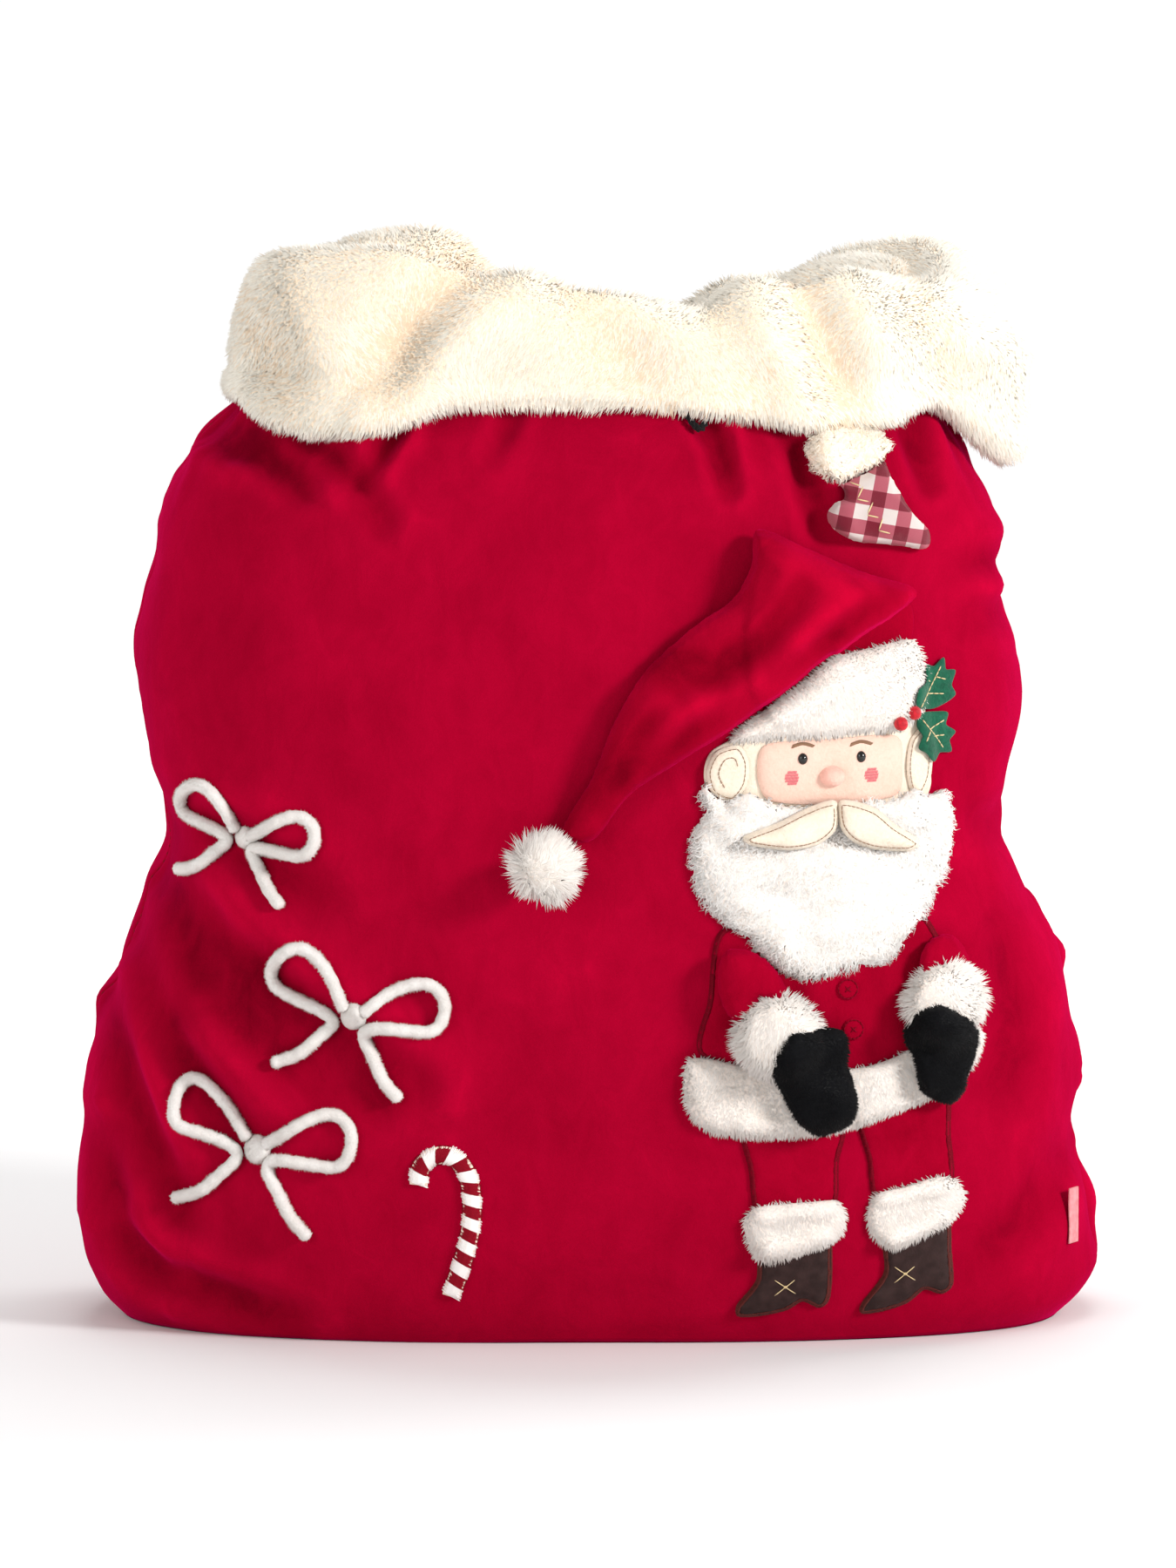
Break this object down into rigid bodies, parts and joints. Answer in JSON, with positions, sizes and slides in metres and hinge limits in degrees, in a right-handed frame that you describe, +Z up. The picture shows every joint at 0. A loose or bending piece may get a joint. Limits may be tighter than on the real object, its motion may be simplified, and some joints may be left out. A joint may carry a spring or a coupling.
{
  "type": "fabric gift sack",
  "caption": "Large velvet gift sack standing open, with a folded plush cuff round the mouth and a padded folk gift-bringer figure, bows and a small stocking sewn on the front.",
  "frame": {"origin": "middle of the underside of the base panel, where the sack stands", "axes": "+Z up out of the mouth, -Y out of the decorated front, +X to the right seen from the front"},
  "size_m": [0.5263, 0.308, 0.5609],
  "materials": {
    "back_panel": "crushed velvet",
    "base_panel": "crushed velvet",
    "beard": "long pile plush",
    "berry_1": "satin bead",
    "berry_2": "satin bead",
    "boot_cuff_left": "long pile plush",
    "boot_cuff_right": "long pile plush",
    "boot_left": "matte leatherette",
    "boot_right": "matte leatherette",
    "bow_1_knot": "chenille cord",
    "bow_1_left": "chenille cord",
    "bow_1_right": "chenille cord",
    "bow_2_knot": "chenille cord",
    "bow_2_left": "chenille cord",
    "bow_2_right": "chenille cord",
    "bow_3_knot": "chenille cord",
    "bow_3_left": "chenille cord",
    "bow_3_right": "chenille cord",
    "button_1": "woven fabric",
    "button_2": "woven fabric",
    "candy_cane": "woven fabric",
    "coat": "crushed velvet",
    "coat_hem": "long pile plush",
    "drawcord": "braided cord",
    "ear_left": "long pile plush",
    "ear_right": "long pile plush",
    "eye_left": "gloss bead",
    "eye_right": "gloss bead",
    "face_panel": "short pile fleece",
    "front_panel": "crushed velvet",
    "fur_cuff": "long pile plush",
    "hat_brim": "long pile plush",
    "hat_crown": "crushed velvet",
    "hat_pompom": "long pile plush",
    "hat_tail": "crushed velvet",
    "head_panel": "short pile fleece",
    "holly_leaf_lower": "felt",
    "holly_leaf_upper": "felt",
    "lining": "plain woven lining",
    "mitten_left": "short pile fleece",
    "mitten_right": "short pile fleece",
    "moustache_left": "long pile plush",
    "moustache_right": "long pile plush",
    "nose": "short pile fleece",
    "side_tag": "woven fabric",
    "sleeve_cuff_left": "long pile plush",
    "sleeve_cuff_right": "long pile plush",
    "sleeve_left": "crushed velvet",
    "sleeve_right": "crushed velvet",
    "stocking_cuff": "long pile plush",
    "stocking_leg": "checked cotton",
    "stocking_loop": "braided cord",
    "trouser_left": "crushed velvet",
    "trouser_right": "crushed velvet"
  },
  "bodies": {
    "sack": {"back_panel": "back_panel", "base_panel": "base_panel", "beard": "beard", "berry_1": "berry_1", "berry_2": "berry_2", "boot_cuff_left": "boot_cuff_left", "boot_cuff_right": "boot_cuff_right", "boot_left": "boot_left", "boot_right": "boot_right", "bow_1_knot": "bow_1_knot", "bow_1_left": "bow_1_left", "bow_1_right": "bow_1_right", "bow_2_knot": "bow_2_knot", "bow_2_left": "bow_2_left", "bow_2_right": "bow_2_right", "bow_3_knot": "bow_3_knot", "bow_3_left": "bow_3_left", "bow_3_right": "bow_3_right", "button_1": "button_1", "button_2": "button_2", "candy_cane": "candy_cane", "coat": "coat", "coat_hem": "coat_hem", "drawcord": "drawcord", "ear_left": "ear_left", "ear_right": "ear_right", "eye_left": "eye_left", "eye_right": "eye_right", "face_panel": "face_panel", "front_panel": "front_panel", "fur_cuff": "fur_cuff", "hat_brim": "hat_brim", "hat_crown": "hat_crown", "head_panel": "head_panel", "holly_leaf_lower": "holly_leaf_lower", "holly_leaf_upper": "holly_leaf_upper", "lining": "lining", "moustache_left": "moustache_left", "moustache_right": "moustache_right", "nose": "nose", "stocking_loop": "stocking_loop", "trouser_left": "trouser_left", "trouser_right": "trouser_right"},
    "hat_tail": {"hat_tail": "hat_tail"},
    "hat_pompom": {"hat_pompom": "hat_pompom"},
    "arm_left": {"sleeve_left": "sleeve_left", "sleeve_cuff_left": "sleeve_cuff_left", "mitten_left": "mitten_left"},
    "arm_right": {"sleeve_right": "sleeve_right", "sleeve_cuff_right": "sleeve_cuff_right", "mitten_right": "mitten_right"},
    "stocking": {"stocking_leg": "stocking_leg", "stocking_cuff": "stocking_cuff"},
    "side_tag": {"side_tag": "side_tag"}
  },
  "joints": [
    {"name": "hat_tail_lift", "type": "hinge", "parent": "sack", "child": "hat_tail", "pos_m": [0.13, -0.10844, 0.40975], "axis": [-0.9008, -0.194, 0.3885], "range_deg": [0, 80]},
    {"name": "pompom_swing", "type": "hinge", "parent": "hat_tail", "child": "hat_pompom", "pos_m": [-0.0062, -0.14133, 0.2744], "axis": [0, 1, 0], "range_deg": [-35, 35]},
    {"name": "arm_left_lift", "type": "hinge", "parent": "sack", "child": "arm_left", "pos_m": [0.082, -0.14091, 0.2125], "axis": [-1, 0, 0], "range_deg": [0, 75]},
    {"name": "arm_right_lift", "type": "hinge", "parent": "sack", "child": "arm_right", "pos_m": [0.1865, -0.10852, 0.216], "axis": [-1, 0, 0], "range_deg": [0, 75]},
    {"name": "stocking_lift", "type": "hinge", "parent": "sack", "child": "stocking", "pos_m": [0.137, -0.07737, 0.4786], "axis": [-1, 0, 0], "range_deg": [0, 40]},
    {"name": "side_tag_flap", "type": "hinge", "parent": "sack", "child": "side_tag", "pos_m": [0.2569, -0.0453, 0.0585], "axis": [0, 0, 1], "range_deg": [0, 110]}
  ]
}
